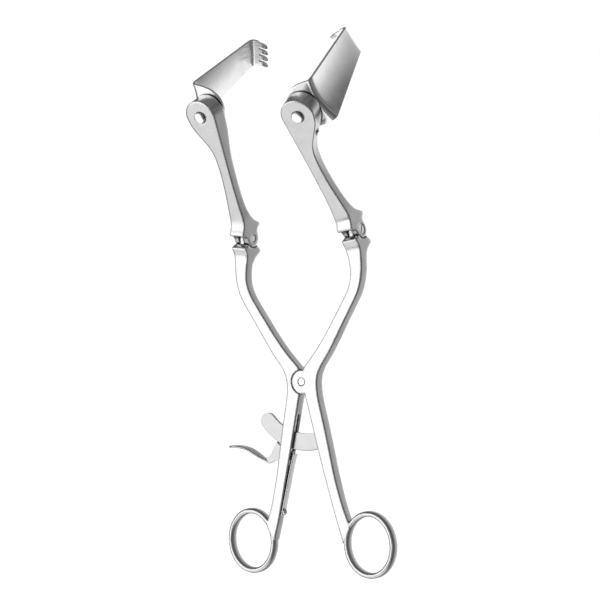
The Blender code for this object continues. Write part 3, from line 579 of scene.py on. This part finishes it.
def bent_blade(word, s):
    """One sheet as a grid that is bent row by row, with the claws drawn out of its last edge."""
    side, lean = SIDES[word], LEANS[word]
    claw_half = CLAW_ROOTS / s.claws
    across = [-1.0]
    for k in range(s.claws):
        middle = -1 + (2 * k + 1) / s.claws
        across += [middle + claw_half * point for point in CLAW_POINTS]
        across.append(-1 + (2 * k + 2) / s.claws)
    rows = sheet_rows(s)

    clear_selection()
    bpy.ops.mesh.primitive_grid_add(x_subdivisions=len(across) - 1, y_subdivisions=len(rows) - 1, size=1)
    blade = bpy.context.object
    blade.name = f"{word}_bent_blade"
    for index, vertex in enumerate(blade.data.vertices):
        reach, half, bow, depth = rows[index // len(across)]
        b = across[index % len(across)]
        vertex.co = Vector((side * (reach + bow * b * b), b * half + lean * depth, -depth)) * MM

    last_row = (len(rows) - 1) * len(across)
    for k in range(s.claws):
        first = last_row + 1 + k * (len(CLAW_POINTS) + 1)  # each claw is followed by one point of a gap
        draw_claw(blade, side, s.claw_length / MM, range(first, first + len(CLAW_POINTS)))
    return blade


def draw_claw(blade, side, length, root):
    """Draws one claw out of the blade's last edge: inwards, then turned up to a point."""
    bpy.ops.object.mode_set(mode="EDIT")
    bpy.ops.mesh.select_mode(type="VERT")
    bpy.ops.mesh.select_all(action="DESELECT")
    bpy.ops.object.mode_set(mode="OBJECT")
    for index in root:
        blade.data.vertices[index].select = True
    start = [blade.data.vertices[index].co.copy() for index in root]
    middle = start[len(start) // 2]
    bpy.ops.object.mode_set(mode="EDIT")
    for share, rise, narrow in CLAW_STEPS:
        bpy.ops.mesh.extrude_region_move()
        bpy.ops.object.mode_set(mode="OBJECT")
        drawn = sorted((v for v in blade.data.vertices if v.select), key=lambda v: v.co.y)
        for vertex, origin in zip(drawn, start):
            vertex.co.x = middle.x - side * share * length * MM
            vertex.co.y = middle.y + (origin.y - middle.y) * narrow
            vertex.co.z = middle.z + rise * MM
        bpy.ops.object.mode_set(mode="EDIT")
    bpy.ops.object.mode_set(mode="OBJECT")


def thicken(blade, thickness):
    """Gives the sheet its wall, rounds its rims and smooths it."""
    wall = blade.modifiers.new("sheet", "SOLIDIFY")
    wall.thickness = thickness
    wall.offset = 0.0
    wall.use_even_offset = True
    rim = blade.modifiers.new("rim", "BEVEL")
    rim.width = RIM_ROUND * MM
    rim.segments = RIM_SEGMENTS
    rim.limit_method = "ANGLE"
    rim.angle_limit = math.radians(RIM_ANGLE)
    smooth = blade.modifiers.new("smooth", "SUBSURF")
    smooth.levels = smooth.render_levels = 1
    apply_all(blade)


class RETRACTOR_OT_blades(Operator):
    """Bend the two blades with their claws, and turn the studs that carry them"""

    bl_idname = "retractor.blades"
    bl_label = "Blades and studs"

    def execute(self, context):
        s = context.scene.retractor_blade
        bright = finish_of("polished_steel")
        for word in SIDES:
            place = swivel_place(word, s.sheet / MM)
            blade = bent_blade(word, s)
            close_up(blade, SMOOTH_TURNED)
            thicken(blade, s.sheet)
            close_up(blade, SMOOTH_ROUND)
            place_piece(blade, place)
            give(blade, f"{word}_blade", bright, "polished_steel", f"{word}_blade")

            stud = stacked(f"{word}_turned_stud", STUD_PROFILE)
            close_up(stud, SMOOTH_TURNED)
            place_piece(stud, place)
            give(stud, f"{word}_blade", bright, "polished_steel", f"{word}_blade_stud")
        return {"FINISHED"}


def grey(tone):
    return (tone, tone, tone, 1.0)


def lay_floor(s):
    """A pale floor that glows, left out of the steel's mirror image."""
    clear_selection()
    bpy.ops.mesh.primitive_plane_add(size=FLOOR_SIZE, location=(0, 0, -s.floor_drop))
    floor = bpy.context.object
    floor.name = "studio_floor"
    bpy.ops.object.transform_apply(location=True, rotation=False, scale=False)
    paper = bpy.data.materials.new("studio_paper")
    paper.use_nodes = True
    shader = paper.node_tree.nodes["Principled BSDF"]
    shader.inputs["Base Color"].default_value = (*s.floor_tone, 1.0)
    shader.inputs["Roughness"].default_value = FLOOR_ROUGHNESS
    shader.inputs["Specular IOR Level"].default_value = FLOOR_SPECULAR
    shader.inputs["Emission Color"].default_value = grey(1.0)
    shader.inputs["Emission Strength"].default_value = s.floor_glow
    floor.data.materials.append(paper)
    floor.visible_glossy = False


def soft_light(name, spot, power, size):
    light = bpy.data.lights.new(name, "AREA")
    light.shape = "RECTANGLE"
    light.size, light.size_y = size
    light.energy = power
    lamp = bpy.data.objects.new(name, light)
    bpy.context.scene.collection.objects.link(lamp)
    lamp.location = spot
    lamp.rotation_euler = (LIT_SPOT - spot).to_track_quat("-Z", "Y").to_euler()


def paint_room(brightness):
    """The room around the instrument, its tones graded from the floor up, which the steel mirrors."""
    world = bpy.data.worlds.new("studio_room")
    bpy.context.scene.world = world
    world.use_nodes = True
    tree = world.node_tree
    room = tree.nodes["Background"]
    room.inputs["Strength"].default_value = brightness
    place = tree.nodes.new("ShaderNodeTexCoord")
    height = tree.nodes.new("ShaderNodeSeparateXYZ")
    tree.links.new(place.outputs["Generated"], height.inputs["Vector"])
    share = spread(tree, (-1.0, 1.0), (0.0, 1.0))
    tree.links.new(height.outputs["Z"], share.inputs["Value"])
    tones = tree.nodes.new("ShaderNodeValToRGB")
    ramp = tones.color_ramp
    ramp.elements[0].position, ramp.elements[0].color = 0.0, grey(ROOM_BELOW)
    ramp.elements[1].position, ramp.elements[1].color = 1.0, grey(ROOM_ABOVE)
    for position, tone in ROOM_TONES:
        ramp.elements.new(position).color = grey(tone)
    tree.links.new(share.outputs["Result"], tones.inputs["Fac"])
    tree.links.new(tones.outputs["Color"], room.inputs["Color"])


def set_camera(lens_length):
    lens = bpy.data.cameras.new("photo_camera")
    lens.lens = lens_length / MM
    lens.sensor_width = SENSOR_WIDTH
    camera = bpy.data.objects.new("photo_camera", lens)
    bpy.context.scene.collection.objects.link(camera)
    place = Matrix(CAMERA_AXES).transposed().to_4x4()
    place.translation = Vector(CAMERA_PLACE)
    camera.matrix_world = place
    bpy.context.scene.camera = camera


class RETRACTOR_OT_stage(Operator):
    """Build the floor, the soft lights, the room and the camera"""

    bl_idname = "retractor.stage"
    bl_label = "Studio"

    def execute(self, context):
        s = context.scene.retractor_studio
        lay_floor(s)
        for name, (spot, size, power) in SOFT_LIGHTS.items():
            soft_light(name, spot, getattr(s, power), size)
        paint_room(s.room_tone)
        set_camera(s.lens)
        context.scene.view_settings.view_transform = "Standard"
        return {"FINISHED"}


class RETRACTOR_PT_panel(Panel):
    bl_label = "Spinal retractor"
    bl_idname = "RETRACTOR_PT_panel"
    bl_space_type = "VIEW_3D"
    bl_region_type = "UI"
    bl_category = "Retractor"

    def draw(self, context):
        layout = self.layout
        scene = context.scene
        for group in (scene.retractor_finish, scene.retractor_blade, scene.retractor_studio):
            box = layout.box()
            for name in group.bl_rna.properties.keys():
                if name not in {"rna_type", "name"}:
                    box.prop(group, name)
        for operator in OPERATORS:
            layout.operator(operator.bl_idname)


OPERATORS = (
    RETRACTOR_OT_stage,
    RETRACTOR_OT_frames,
    RETRACTOR_OT_arms,
    RETRACTOR_OT_ratchet,
    RETRACTOR_OT_screws,
    RETRACTOR_OT_catches,
    RETRACTOR_OT_blades,
)
SETTINGS = (FinishSettings, BladeSettings, StudioSettings)


def register():
    for made in (*SETTINGS, *OPERATORS, RETRACTOR_PT_panel):
        bpy.utils.register_class(made)
    bpy.types.Scene.retractor_finish = PointerProperty(type=FinishSettings)
    bpy.types.Scene.retractor_blade = PointerProperty(type=BladeSettings)
    bpy.types.Scene.retractor_studio = PointerProperty(type=StudioSettings)


def unregister():
    del bpy.types.Scene.retractor_studio
    del bpy.types.Scene.retractor_blade
    del bpy.types.Scene.retractor_finish
    for made in reversed((*SETTINGS, *OPERATORS, RETRACTOR_PT_panel)):
        bpy.utils.unregister_class(made)


def main():
    register()
    for start in list(bpy.data.objects):
        if start.name in {"Cube", "Light", "Camera"}:
            bpy.data.objects.remove(start)
    bpy.ops.retractor.stage()
    bpy.ops.retractor.frames()
    bpy.ops.retractor.arms()
    bpy.ops.retractor.ratchet()
    bpy.ops.retractor.screws()
    bpy.ops.retractor.catches()
    bpy.ops.retractor.blades()


if __name__ == "__main__":
    main()
